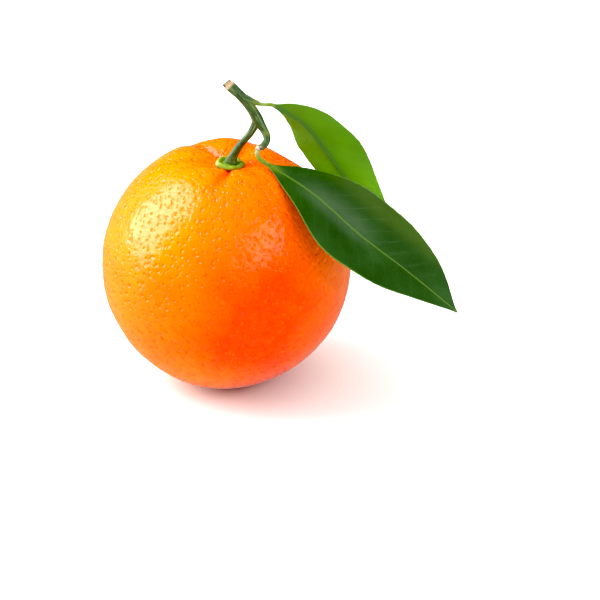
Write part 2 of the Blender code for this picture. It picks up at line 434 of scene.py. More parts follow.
class FruitSettings(bpy.types.PropertyGroup):
    """Sizes and colours of the fruit."""

    pore_spacing: length_property(
        "Pore Spacing", "Distance between the large oil pores of the rind", 3.3 * MM, min=2.6 * MM,
    )
    pore_depth: length_property("Pore Depth", "Depth of a large oil pore", 0.16 * MM, min=0.0)
    pebble_height: length_property(
        "Pebble Height", "Height of the small swellings between the pores", 0.05 * MM, min=0.0,
    )
    seed: IntProperty(name="Seed", description="Which of the many ways the pores may lie", default=7)
    golden: colour_property("Golden Rind", "The lighter tone of the rind", (0.94, 0.210, 0.0))
    deep: colour_property("Deep Rind", "The redder tone of the rind", (0.92, 0.046, 0.0))
    pore_tone: colour_property("Pore Tone", "The rind inside a pore", (0.88, 0.040, 0.0))


def cube_ball(cells):
    """Evenly spread unit directions and the quads between them.

    Each face of a cube carries a grid whose lines stand at equal angles, and points that faces share are one.
    """
    step = np.tan(np.linspace(-0.25, 0.25, cells + 1) * math.pi)
    first, second = np.meshgrid(step, step, indexing="ij")
    side = np.stack([np.ones_like(first), first, second], axis=-1).reshape(-1, 3)
    sides = [side, side[:, [2, 0, 1]], side[:, [1, 2, 0]]]
    everything = unit(np.vstack(sides + [-each for each in sides]))
    corner = (np.arange(cells)[:, None] * (cells + 1) + np.arange(cells)[None, :]).reshape(-1, 1)
    quad = corner + np.array([0, cells + 1, cells + 2, 1])
    size = len(side)
    front = [quad + number * size for number in range(3)]
    back = [quad[:, ::-1] + number * size for number in range(3, 6)]
    _, chosen, same = np.unique(np.round(everything, 6), axis=0, return_index=True, return_inverse=True)
    return everything[chosen], same.ravel()[np.vstack(front + back)]


def creases(angle, reach, broad=0.25):
    """Creases that run out from the crown, wandering a little.

    Each is a broad bump and a sharp bump in angle, deepest at one reach and fading beyond it.
    """
    depth = np.zeros_like(reach)
    for degrees, strength in CREASES:
        wander = CREASE_WANDER * np.sin(reach / CREASE_WAVE + degrees)
        aside = angle - math.radians(degrees) - wander
        depth += strength * (broad * spoke(aside, BROAD_CREASE) + (1.0 - broad) * spoke(aside, SHARP_CREASE))
    ratio = reach / CREASE_REACH
    return depth * ratio * np.exp(0.5 - 0.5 * ratio**2) * ramp(reach, 2.0 * MM, 7.0 * MM)


def ridges(angle, reach):
    """Puffs of rind that stand between the creases: a round bump in angle and in reach for each."""
    height = np.zeros_like(reach + angle)
    for degrees, high, middle, width in RIDGES:
        sideways = spoke(angle - math.radians(degrees), RIDGE_SHARPNESS)
        height += high * MM * sideways * bell(reach / FRUIT_RADIUS - middle, width)
    return height


def flat(angle, reach):
    """The shallow flat of the far shoulder, a round bump in the plane of the crown."""
    aside = reach * np.cos(angle) - FLAT_REACH * math.cos(FLAT_ANGLE)
    ahead = reach * np.sin(angle) - FLAT_REACH * math.sin(FLAT_ANGLE)
    return FLAT_DEPTH * bell(np.hypot(aside, ahead), FLAT_WIDTH)


def crown_height(angle, reach, creased=1.0):
    """The crown's height over the spheroid: a soft shoulder and ridges, less dimple, creases and flat."""
    shoulder = SHOULDER_HEIGHT * bell(reach - SHOULDER_REACH, SHOULDER_WIDTH)
    dimple = DIMPLE_DEPTH * bell(reach, DIMPLE_REACH) + flat(angle, reach)
    return shoulder - dimple + ridges(angle, reach) - creased * CREASE_DEPTH * creases(angle, reach)


def wrinkles(angle, reach, seed):
    """Fine short creases between the furrows, each at a random angle and strongest close to the calyx."""
    draw = np.random.default_rng(seed)
    depth = np.zeros_like(reach)
    for _ in range(WRINKLE_COUNT):
        place = draw.uniform(0, 2 * math.pi)
        sharpness = draw.uniform(60, 220)
        middle = draw.uniform(5.5, 10) * MM
        line = spoke(angle - place - WRINKLE_SLANT * (reach - middle), sharpness)
        depth += draw.uniform(0.4, 1.0) * line * bell(reach - middle, WRINKLE_LENGTH)
    return depth


def nearest(directions, centres):
    """Which centre lies nearest each direction, worked out a block of directions at a time."""
    found = np.empty(len(directions), dtype=int)
    for block in blocks(len(directions)):
        found[block] = (directions[block] @ centres.T).argmax(axis=1)
    return found


def pore_centres(count, draw):
    """An even spiral of directions over the ball, each moved at random by a share of the spacing."""
    index = np.arange(count) + 0.5
    height = 1.0 - 2.0 * index / count
    turn = index * GOLDEN_ANGLE
    level = np.sqrt(1.0 - height**2)
    even = np.stack([level * np.cos(turn), level * np.sin(turn), height], axis=1)
    spacing = math.sqrt(4.0 * math.pi / count)
    return unit(even + draw.uniform(-PORE_JITTER, PORE_JITTER, size=even.shape) * spacing)


def fruit_skin(settings):
    """Points, faces and stored values of the rind.

    The distance from the middle along a direction is a spheroid's, plus the crown's height, lumps, swellings
    and pebbles, less the wrinkles and pores. The ball then leans, and its foot is pressed flat.
    """
    direction, faces = cube_ball(FRUIT_CELLS)
    across = np.hypot(direction[:, 0], direction[:, 1])
    height = direction[:, 2]
    angle = np.arctan2(direction[:, 1], direction[:, 0])
    spheroid = FRUIT_RADIUS / np.sqrt(across**2 + (height / POLAR_SHARE) ** 2)
    reach = spheroid * across
    top = 1.0 / (1.0 + np.exp(-20.0 * height))
    # crease is kept only for the painted shade that the rind lays in its creases.
    crease = creases(angle, reach, 0.15) * top
    wrinkle = wrinkles(angle, reach, settings.seed) * top
    lumps = across**2 * (np.sin(3.0 * angle + 0.6) + np.sin(2.0 * angle + 2.0) * height)
    distance = spheroid + LUMP_SHARE * FRUIT_RADIUS * lumps + top * crown_height(angle, reach)
    distance -= WRINKLE_DEPTH * wrinkle
    ball = direction * FRUIT_RADIUS
    off_crown = ramp(reach + 1.0 * (height < 0), 5 * MM, 20 * MM)
    distance += BROAD_SWELLING[0] * random_field(ball, BROAD_SWELLING[1], settings.seed) * off_crown
    distance += SMALL_SWELLING[0] * random_field(ball, SMALL_SWELLING[1], settings.seed + 1)
    distance += settings.pebble_height * random_field(ball, PEBBLE_LENGTH, settings.seed + 2)

    draw = np.random.default_rng(settings.seed)
    count = int(4.0 * math.pi * FRUIT_RADIUS**2 / (PACKED_AREA * settings.pore_spacing**2))
    centres = pore_centres(count, draw)
    pore_size = draw.uniform(*PORE_SIZES, size=count) * MM
    owner = nearest(direction.astype(np.float32), centres.astype(np.float32))
    offset = (direction - centres[owner]) * FRUIT_RADIUS
    gap = np.linalg.norm(offset, axis=1)
    distance -= settings.pore_depth * bell(gap, pore_size[owner] * PORE_SPREAD)

    points = leaned(direction * distance[:, None])
    points[:, 2] = np.maximum(points[:, 2], 0.0)
    values = {
        "pore_offset": offset / MM,
        "pore_size": pore_size[owner] / MM,
        "pore_gap": gap / MM,
        # How deep the crown's creases and wrinkles run, for the painted shade in them.
        "crease": np.clip(crease + 0.35 * wrinkle, 0.0, 1.0),
    }
    return points, faces.tolist(), values


def rind_material(settings):
    """Waxy rind: mottled orange, darker in its pores, painted shade in its creases and on its right, painted
    light at top and bottom, pebbled satin gloss.
    """
    shader = Shader("rind")
    across = shader.part_of(shader.place, "X")
    # Painted shade: the rind turns from golden on the left, where the key light falls, to the deep tone on
    # the right, easing off towards the far right limb.
    painted_side_shade = across.step(-1.25 * FRUIT_RADIUS, 0.50 * FRUIT_RADIUS)
    painted_side_shade = painted_side_shade - across.step(0.3 * FRUIT_RADIUS, FRUIT_RADIUS) * 0.6
    # Painted light: pale makes the rind more golden towards the top, under the overhead light, and towards
    # the bottom, where the floor's bounce falls.
    up = shader.part_of(shader.place, "Z") - FRUIT_MIDDLE[2]
    pale = up.step(0.0, 0.93 * FRUIT_RADIUS) * 0.65
    pale = pale + up.step(-0.25 * FRUIT_RADIUS, -0.75 * FRUIT_RADIUS) * 0.45
    cloud = shader.noise(55.0, 3.0)

    offset = shader.measure("LENGTH", shader.attribute("pore_offset", "Vector"))
    inside = shader.attribute("pore_gap").step(1.75, 1.25)
    large = (offset / shader.attribute("pore_size")).step(1.25, 0.35) * inside
    small = shader.cells(900.0).step(0.34, 0.10)
    chance = shader.part_of(shader.cells(560.0, output="Color"), "X")
    middle = shader.cells(560.0).step(0.38, 0.14) * chance.step(0.05, 0.55)
    fine = small * 0.35 + middle
    pores = shader.node("ShaderNodeClamp", {}, {0: large + fine * 0.7})
    tone = shader.painted(
        tuple(settings.golden),
        # The deep tone comes in by the painted side shade, less the painted top and bottom light, with random
        # mottling from the cloud.
        (tuple(settings.deep), painted_side_shade * 1.2 - pale + (cloud - 0.5) * 0.8 - 0.05),
        (FRECKLE_TONE, shader.noise(900.0, 2.0).step(0.56, 0.78) * 0.22),
        (tuple(settings.pore_tone), pores * 0.17),
        # Painted shade in the crown's creases and wrinkles.
        (CREASE_SHADE_TONE, shader.attribute("crease") * 0.5),
        (BLOSSOM_SCAR_TONE, shader.near((0.0, 0.0, 0.0), 2.6, 1.6) * 0.7),
    )

    grain = shader.noise(2600.0, 2.0)
    pebbles = shader.noise(720.0, 2.0, 0.6)
    shallow = 1.0 - across.step(0.42 * FRUIT_RADIUS, 0.68 * FRUIT_RADIUS) * 0.7
    height = (large + fine) * shallow * -0.00019 + grain * 0.000014 + pebbles * 0.00012
    surface = shader.principled(
        base_color=tone, roughness=0.20 + pores * 0.04 + (cloud - 0.5) * 0.08, normal=shader.bump(height),
        subsurface_weight=0.25, subsurface_radius=(1.0, 0.30, 0.06), subsurface_scale=0.0034,
        specular_ior_level=0.46, ior=1.45,
    )
    return shader.finish(surface)


class ORANGE_OT_fruit(bpy.types.Operator):
    """Build the fruit's rind and put it in place of its frame node"""

    bl_idname = "orange.add_fruit"
    bl_label = "Add Fruit"

    def execute(self, context):
        settings = context.scene.orange_fruit
        points, faces, values = fruit_skin(settings)
        fruit = make_mesh("orange_fruit", points, faces, values)
        finish_piece(fruit, "fruit", rind_material(settings))
        return {"FINISHED"}


# -------- calyx

CALYX_AROUND = 240
CALYX_LOBES = 5
CALYX_TURN = 0.8
CALYX_TOP_RINGS = 56
CALYX_UNDER_RINGS = 11
CALYX_INNER_SHARE = 0.04
CALYX_PALE = (0.24, 0.35, 0.018)
CALYX_SPOTS = (0.07, 0.13, 0.02)
# Painted light in cream on the calyx's left, where the key light falls, and painted shade on its right.
CALYX_PAINTED_LIGHT = (0.46, 0.44, 0.20)
CALYX_PAINTED_SHADE = (0.15, 0.21, 0.02)
# Painted shade in the moat inside the raised rim.
CALYX_MOAT_SHADE = (0.045, 0.085, 0.012)
CALYX_EDGE = (0.24, 0.20, 0.04)


class StemSettings(bpy.types.PropertyGroup):
    """Sizes and colours of the calyx, the twig and the leaf stalks."""

    calyx_thickness: length_property(
        "Calyx Thickness", "Height of the calyx above the rind near its edge", 1.35 * MM, min=0.2 * MM,
    )
    ridge_height: length_property(
        "Bark Ridges", "Height of the fine ridges along the bark", 0.05 * MM, min=0.0,
    )
    calyx_green: colour_property("Calyx Green", "The calyx where it is fresh", (0.14, 0.24, 0.014))
    bark_green: colour_property("Bark Green", "The young bark", (0.032, 0.078, 0.015))
    cut_wood: colour_property("Cut Wood", "The wood of the cut end", (0.42, 0.30, 0.17))
    stalk_green: colour_property("Stalk Green", "The leaf stalks", (0.13, 0.21, 0.012))


def rind_height(reach, angle):
    """Height of the nearly uncreased rind above the fruit's middle close to its axis, in the leaning axes."""
    spheroid = FRUIT_RADIUS * POLAR_SHARE * np.sqrt(1.0 - (reach / FRUIT_RADIUS) ** 2)
    return spheroid + crown_height(angle, reach, 0.1)


def calyx_rings(thickness):
    """Rings of the calyx from the middle of its top, over its rim and back under, and each ring's share.

    The share is of the rim's reach, which swells at each lobe. The top is a low collar round the stalk, then
    a moat, a round raised rim and a rounded edge. The underside follows the rind.
    """
    outward = np.linspace(CALYX_INNER_SHARE, 1.0, CALYX_TOP_RINGS)
    inward = np.linspace(1.0, CALYX_INNER_SHARE, CALYX_UNDER_RINGS + 1)[1:]
    share = np.concatenate([outward, inward])[:, None]
    upper = np.concatenate([np.ones(CALYX_TOP_RINGS), np.zeros(CALYX_UNDER_RINGS)])[:, None]
    angle = full_turn(CALYX_AROUND)[None, :]
    circle = np.stack([np.cos(angle[0]), np.sin(angle[0]), np.zeros(CALYX_AROUND)], axis=1)
    rough = random_field(circle, 0.75, 21)[None, :]
    fine = random_field(circle, 0.2, 22)[None, :]
    lobe = np.cos(CALYX_LOBES * angle + CALYX_TURN)
    rim = CALYX_RADIUS * (0.965 - 0.045 * np.cos(angle) + 0.024 * lobe + 0.040 * rough + 0.006 * fine)
    reach = rim * share
    collar = 0.45 * MM * bell(reach, 2.1 * MM)
    moat = (-0.55 + 0.16 * rough) * MM * bell(share - 0.54, 0.13)
    raised = (0.36 + 0.12 * lobe + 0.24 * rough - 0.14 * np.cos(angle)) * MM * bell(share - 0.80, 0.17)
    pleats = 0.025 * MM * fine * ramp(share, 0.3, 0.7)
    edge = np.sqrt(np.clip(1.0 - share**5, 0.0, 1.0))
    top = (thickness + collar + moat + raised + pleats) * edge
    height = rind_height(reach, angle) + 0.02 * MM + upper * top - (1.0 - upper) * 0.15 * MM * (1.0 - share)
    places = leaned(np.stack([reach * np.cos(angle), reach * np.sin(angle), height], axis=-1))
    return places[:, ::-1], np.broadcast_to(share, reach.shape)


def calyx_material(settings):
    """Dry green calyx: mottled, with painted light in cream on its left, painted shade on its right and
    painted shade inside its raised rim.
    """
    shader = Shader("calyx")
    share = shader.attribute("calyx_share")
    cloud = shader.noise(420.0, 3.0)
    # Painted light: a cream patch on the left edge of the calyx, towards the key light.
    calyx_lit_middle = CROWN + np.array([-4.9, -0.9, 0.6]) * MM
    calyx_lit_side = shader.distance(calyx_lit_middle).step(2.8 * MM, 0.7 * MM)
    # Painted shade: the right side of the calyx, away from the key light, turns dull.
    calyx_shade_side = shader.part_of(shader.place, "X").step(CROWN[0] + 0.8 * MM, CROWN[0] + 4.5 * MM)
    tone = shader.painted(
        tuple(settings.calyx_green),
        (CALYX_PALE, cloud.step(0.35, 0.70)),
        (CALYX_SPOTS, shader.noise(900.0, 2.0).step(0.50, 0.70) * 0.7),
        (CALYX_PAINTED_LIGHT, calyx_lit_side * (0.6 + cloud * 0.5)),
        (CALYX_PAINTED_SHADE, calyx_shade_side * 0.7),
        # Painted shade in the moat, deeper on the shaded right side.
        (CALYX_MOAT_SHADE, share.step(0.74, 0.56) * (0.35 + calyx_shade_side * 0.5)),
        (CALYX_EDGE, share.step(0.94, 1.0) * 0.4),
    )
    height = shader.noise(3200.0, 2.0) * 0.00002 + cloud * 0.0003
    surface = shader.principled(
        base_color=tone, roughness=0.6, normal=shader.bump(height), specular_ior_level=0.25,
        subsurface_weight=0.12, subsurface_radius=(1.0, 1.0, 0.4), subsurface_scale=0.0008,
    )
    return shader.finish(surface)


class ORANGE_OT_calyx(bpy.types.Operator):
    """Build the lobed calyx in the crown's dimple"""

    bl_idname = "orange.add_calyx"
    bl_label = "Add Calyx"

    def execute(self, context):
        settings = context.scene.orange_stem
        rings, share = calyx_rings(settings.calyx_thickness)
        points, faces = skin_rings(rings)
        calyx = make_mesh("orange_calyx", points, faces, {"calyx_share": with_ends(share)})
        finish_piece(calyx, "calyx", calyx_material(settings))
        return {"FINISHED"}


# -------- twig

# Each point is x, y, z and the wood's half width there, in millimetres of the frame.
STEM_POINTS = (
    (0.9, 2.5, 99.6, 1.40),
    (1.6, 2.25, 99.05, 1.46),
    (2.4, 2.0, 98.35, 1.68),
    (4.6, 1.2, 96.4, 1.52),
    (7.1, 0.6, 93.9, 1.50),
    (9.2, 0.2, 91.0, 1.64),
    (10.7, -0.2, 88.2, 1.72),
    (12.3, -1.0, 85.7, 1.28),
    (13.3, -2.0, 84.0, 1.12),
    (13.5, -3.0, 82.6, 1.05),
    (12.7, -4.0, 81.5, 1.10),
    (11.5, -4.8, 80.7, 1.12),
)
STALK_POINTS = (
    (10.5, -0.1, 88.0, 1.35),
    (9.1, 0.0, 85.1, 1.18),
    (7.7, 0.0, 83.0, 1.08),
    (5.3, 0.0, 80.1, 1.12),
    (3.5, 0.0, 77.4, 1.30),
    (2.5, 0.0, 75.5, 1.62),
    (2.2, 0.0, 74.1, 2.10),
)
CUSHION_POINTS = (
    (5.6, 0.8, 95.8, 1.0),
    (7.6, 0.5, 94.8, 1.15),
    (9.2, 0.3, 94.1, 0.95),
    (10.8, 0.1, 93.6, 0.74),
)
KNUCKLE_POINTS = (
    (11.9, -4.5, 81.1, 0.9),
    (11.0, -5.0, 80.75, 1.12),
    (10.6, -5.4, 80.2, 0.95),
)
CUT_END = np.array(STEM_POINTS[0][:3])
CUT_SLOPE = 0.2
TWIG_AROUND = 40
TWIG_VOXEL = 0.13 * MM
TWIG_SMOOTHINGS = 7
LUMP_HEIGHT = 0.07 * MM
WOOD_UPRIGHT = (0.0, 1.0, 0.0)
STREAK_TONE = (0.14, 0.20, 0.085)
BARK_SHADE = (0.012, 0.032, 0.009)
SPUR_TONE = (0.17, 0.20, 0.03)
DOT_TONE = (0.16, 0.16, 0.09)
SCAR_PALE = (0.52, 0.46, 0.34)
SCAR_DARK = (0.10, 0.06, 0.03)
SCAR_RING = (0.16, 0.10, 0.05)
JOINT_TONE = (0.14, 0.20, 0.025)
FOOT_TONE = (0.12, 0.19, 0.03)
WOOD_SHADE = (0.34, 0.24, 0.13)
PITH_TONE = (0.22, 0.17, 0.12)
CUT_RIM_TONE = (0.06, 0.045, 0.03)


def wood_route(points, spacing=0.25 * MM):
    """A smooth route and its half width, with a point every spacing."""
    points = np.asarray(points) * MM
    length = np.linalg.norm(np.diff(points[:, :3], axis=0), axis=1).sum()
    route = smooth_path(points, np.linspace(0.0, 1.0, max(6, int(length / spacing))))
    return route[:, :3], route[:, 3]


def twig_cage():
    """The twig's branches as overlapping closed tubes, the stem's first end sheared to a slanting cut."""
    points, faces, routes = [], [], []
    count = 0
    for number, branch in enumerate((STEM_POINTS, STALK_POINTS, CUSHION_POINTS, KNUCKLE_POINTS)):
        route, half_width = wood_route(branch)
        rings = tube_rings(route, half_width, TWIG_AROUND, WOOD_UPRIGHT)
        ahead, up, across = path_frames(route, WOOD_UPRIGHT)
        along = path_length(route)
        if number == 0:
            lean = ((rings - route[:, None]) * across[:, None]).sum(axis=-1)
            fade = bell(along, 2.5 * MM)
            rings = rings + ahead[:, None] * (CUT_SLOPE * lean * fade[:, None])[..., None]
        new_points, new_faces = skin_rings(rings, count)
        points.append(new_points)
        faces += new_faces
        count += len(new_points)
        routes.append((route, half_width, up, across, along))
    return np.vstack(points), faces, routes


def read_modifiers(thing):
    """The mesh that an object's modifiers make, in place of its own."""
    graph = bpy.context.evaluated_depsgraph_get()
    mesh = bpy.data.meshes.new_from_object(thing.evaluated_get(graph))
    thing.modifiers.clear()
    thing.data = mesh
    return mesh


def mesh_arrays(mesh):
    """A mesh's points and their normals as arrays."""
    points = np.empty(len(mesh.vertices) * 3)
    normals = np.empty(len(mesh.vertices) * 3)
    mesh.vertices.foreach_get("co", points)
    mesh.vertex_normals.foreach_get("vector", normals)
    return points.reshape(-1, 3), normals.reshape(-1, 3)


def wood_place(points, routes):
    """For each point, the cosine and sine of its angle round the nearest branch, and its length along it."""
    centre, half_width, up, across, along = (np.concatenate(part) for part in zip(*routes))
    owner = np.empty(len(points), dtype=int)
    for block in blocks(len(points)):
        gap = np.linalg.norm(points[block, None] - centre[None], axis=2) - half_width[None]
        owner[block] = gap.argmin(axis=1)
    out = unit(points - centre[owner])
    cosine = (out * up[owner]).sum(axis=1)
    sine = (out * across[owner]).sum(axis=1)
    return np.stack([cosine, sine, along[owner] / MM], axis=1)


def build_twig(settings):
    """Tubes melted into one skin by a voxel remesh and smoothed, then raised into ridges along the wood."""
    points, faces, routes = twig_cage()
    twig = make_mesh("orange_twig", points, faces)
    melt = twig.modifiers.new("melt", "REMESH")
    melt.mode = "VOXEL"
    melt.voxel_size = TWIG_VOXEL
    soften = twig.modifiers.new("soften", "SMOOTH")
    soften.factor = 0.5
    soften.iterations = TWIG_SMOOTHINGS
    mesh = read_modifiers(twig)
    mesh.shade_smooth()
    points, normals = mesh_arrays(mesh)
    place = wood_place(points, routes)
    stretched = place * np.array([1.0, 1.0, 0.075])
    ridges = random_field(stretched, 0.55, 31) + 0.6 * random_field(stretched, 0.25, 32)
    lumps = random_field(points, 4.0 * MM, 33)
    cut = bell(np.linalg.norm(points - CUT_END * MM, axis=1), 1.6 * MM)
    raised = settings.ridge_height * ridges * (1.0 - 0.7 * cut) + LUMP_HEIGHT * lumps
    points += normals * raised[:, None]
    mesh.vertices.foreach_set("co", points.ravel())
    add_attributes(mesh, {"wood_place": place * np.array([1.0, 1.0, 0.1])})
    mesh.update()
    return twig


def bark_material(settings):
    """Young bark: green with paler streaks along it, tan at the cut, pale and brown at the spur's scar."""
    shader = Shader("bark")
    streak = shader.noise(2.6, 4.0, 0.6, shader.attribute("wood_place", "Vector"))
    cloud = shader.noise(260.0, 3.0)
    dots = shader.cells(900.0).step(0.20, 0.10)
    ring = shader.distance(np.array([11.0, -5.0, 80.8]) * MM) - 1.6 * MM
    scar = shader.mix(SCAR_PALE, SCAR_DARK, shader.noise(1100.0, 2.0).step(0.48, 0.58))

    to_end = shader.distance(CUT_END * MM)
    band = (to_end + (cloud - 0.5) * 0.0022).step(3.1 * MM, 2.4 * MM)
    rim = (to_end - 1.55 * MM).absolute().step(0.45 * MM, 0.1 * MM) * cloud.step(0.40, 0.55)
    wood = shader.painted(
        tuple(settings.cut_wood),
        (WOOD_SHADE, shader.noise(700.0, 3.0).step(0.40, 0.70)),
        (PITH_TONE, shader.near(CUT_END + (-0.1, 0.2, 0.0), 0.75, 0.35) * 0.8),
        (CUT_RIM_TONE, rim * 0.9),
    )
    tone = shader.painted(
        tuple(settings.bark_green),
        (STREAK_TONE, streak.step(0.44, 0.72)),
        (BARK_SHADE, cloud.step(0.52, 0.30) * 0.75),
        (SPUR_TONE, shader.near((13.5, -1.8, 84.4), 1.9, 0.7) * 0.75),
        (DOT_TONE, dots * 0.4),
        (scar, shader.near((10.7, -5.1, 80.5), 1.9, 1.1) * 0.9),
        (SCAR_RING, ring.absolute().step(0.35 * MM, 0.05 * MM) * 0.55),
        (JOINT_TONE, shader.near((10.6, 0.1, 93.6), 3.4, 0.8) * 0.8),
        (FOOT_TONE, shader.near((2.4, 0.0, 74.2), 3.0, 1.2) * 0.6),
        (wood, band),
    )
    height = streak * 0.00014 + shader.noise(2400.0, 2.0) * 0.00004 + dots * 0.00005
    surface = shader.principled(
        base_color=tone, roughness=0.46 + band * 0.3 + (streak - 0.5) * 0.15, normal=shader.bump(height),
        specular_ior_level=0.4,
    )
    return shader.finish(surface)


class ORANGE_OT_twig(bpy.types.Operator):
    """Build the forked twig with its cut end, stalk and spur"""

    bl_idname = "orange.add_twig"
    bl_label = "Add Twig"

    def execute(self, context):
        settings = context.scene.orange_stem
        finish_piece(build_twig(settings), "twig", bark_material(settings))
        return {"FINISHED"}


# -------- leaf stalks

PETIOLE_AROUND = 48
# Each point is x, y, z and the stalk's half width there, in millimetres of the frame.
PETIOLES = {
    "petiole_front": (
        (10.7, -5.4, 80.2, 0.72), (10.5, -5.85, 79.35, 0.72), (10.8, -6.2, 78.4, 0.72),
        (11.5, -6.6, 77.6, 0.80), (12.6, -7.05, 77.0, 0.80), (14.0, -7.7, 76.4, 0.45),
    ),
    "petiole_back": (
        (9.9, 0.2, 93.85, 0.70), (10.8, 0.1, 93.55, 0.74), (11.7, 0.2, 93.3, 0.60),
        (13.3, 0.4, 93.1, 0.56), (15.2, 0.6, 92.9, 0.66), (16.8, 0.8, 92.2, 0.60),
    ),
}
PETIOLE_JOINTS = {"petiole_front": (0.34, 0.34, 0.16), "petiole_back": JOINT_TONE}


def petiole_rings(points):
    """A slim tube with a groove along its upper side and low lumps along its length."""
    route, half_width = wood_route(points, 0.09 * MM)
    groove = 1.0 - 0.22 * spoke(full_turn(PETIOLE_AROUND), 5.0)[None, :]
    lumpy = 1.0 + 0.03 * random_field(route, 1.3 * MM, 41)[:, None]
    return tube_rings(route, half_width, PETIOLE_AROUND, (0.0, 0.0, 1.0), groove * lumpy)


def petiole_material(name, tone, joint, joint_tone):
    """A smooth leaf stalk, paler in patches and with a tone of its own where it joins the wood."""
    shader = Shader(name)
    cloud = shader.noise(500.0, 3.0)
    colour = shader.painted(
        tone,
        (shade(tone, 1.5, 0.03), cloud.step(0.35, 0.7)),
        (joint_tone, shader.near(joint[:3], 2.2, 0.9) * 0.7),
    )
    surface = shader.principled(
        base_color=colour, roughness=0.42, normal=shader.bump(cloud * 0.0001), specular_ior_level=0.5,
        subsurface_weight=0.15, subsurface_radius=(0.8, 1.0, 0.2), subsurface_scale=0.0008,
    )
    return shader.finish(surface)


class ORANGE_OT_petioles(bpy.types.Operator):
    """Build the stalks of both leaves"""

    bl_idname = "orange.add_petioles"
    bl_label = "Add Leaf Stalks"

    def execute(self, context):
        green = tuple(context.scene.orange_stem.stalk_green)
        for name, points in PETIOLES.items():
            petiole = make_mesh("orange_" + name, *skin_rings(petiole_rings(points)))
            material = petiole_material(name, green, points[0], PETIOLE_JOINTS[name])
            finish_piece(petiole, name, material)
        return {"FINISHED"}


# -------- leaves

BLADE_RINGS = 260
BLADE_AROUND = 216
VEIN_SPACING = 5.6
VEIN_SLOPE = 0.95
# The distance square to a slanting side vein, as a share of the distance along the midrib.
VEIN_SQUARE = 0.72
SIDE_VEIN_CURVE = 0.012
MARGIN_TOOTH = 0.004
TOOTH_LENGTH = 0.52 * MM
TOOTH_GROUPS = 2.9 * MM
WAVE_LENGTH = 3.4 * MM
END_THICKNESS = 0.35
RIB_GROOVE = 0.16 * MM
RIB_KEEL = 0.62 * MM
OLIVE_EDGE = (0.070, 0.130, 0.016)
# Painted sheen: a bluish reflection laid along the midrib on the upper side.
PAINTED_SHEEN_TONE = (0.085, 0.145, 0.070)
RIB_TONE = (0.12, 0.22, 0.024)
RIB_START_TONE = (0.13, 0.22, 0.016)
MARGIN_TONE = (0.12, 0.26, 0.035)
UNDER_RIB_TONE = (0.085, 0.185, 0.105)
RIB_GLOW = (0.20, 0.42, 0.10)
# Lengths are in millimetres of the frame and angles in degrees. Roll is given at the stalk and at the tip.
# Under is the underside's share of its set colour, and glow is how much light comes through.
LEAVES = {
    "leaf_front": {
        "midrib": (
            (12.3, -7.1, 77.1), (27.6, -13.6, 69.2), (42.2, -21.1, 58.5), (57.4, -28.3, 49.0),
            (71.3, -37.7, 40.6),
        ),
        "half_width": 17.4, "taper": (1.06, 1.07), "fold": 10.3, "roll": (10.6, 9.4), "wave": 0.25,
        "neck": 0.07, "seed": 51,
        "green": "front_green", "under": 0.8, "glow_tone": (0.07, 0.19, 0.01), "glow": 0.12, "gloss": 0.34,
    },
    "leaf_back": {
        "midrib": (
            (15.4, 0.7, 92.9), (24.7, 2.2, 86.1), (31.6, 3.8, 76.5), (40.4, 7.6, 62.2),
            (54.9, 15.9, 40.8),
        ),
        "half_width": 13.7, "taper": (0.84, 0.84), "fold": 14.5, "roll": (-33.5, -38.0), "wave": 0.03,
        "neck": 0.03, "seed": 61,
        "green": "back_green", "under": 1.0, "glow_tone": (0.42, 0.71, 0.12), "glow": 0.55, "gloss": 0.42,
    },
}


class LeafSettings(bpy.types.PropertyGroup):
    """Sizes and colours of the leaves."""

    thickness: length_property(
        "Blade Thickness", "Thickness of a leaf blade between its veins", 0.34 * MM, min=0.1 * MM,
    )
    vein_depth: length_property(
        "Vein Relief", "How far the side veins sink into the upper side", 0.02 * MM, min=0.0,
    )
    front_green: colour_property("Dark Leaf", "Upper side of the older leaf", (0.022, 0.066, 0.012))
    back_green: colour_property("Bright Leaf", "Upper side of the younger leaf", (0.045, 0.140, 0.004))
    underside: colour_property("Leaf Underside", "Underside of both leaves", (0.160, 0.345, 0.055))


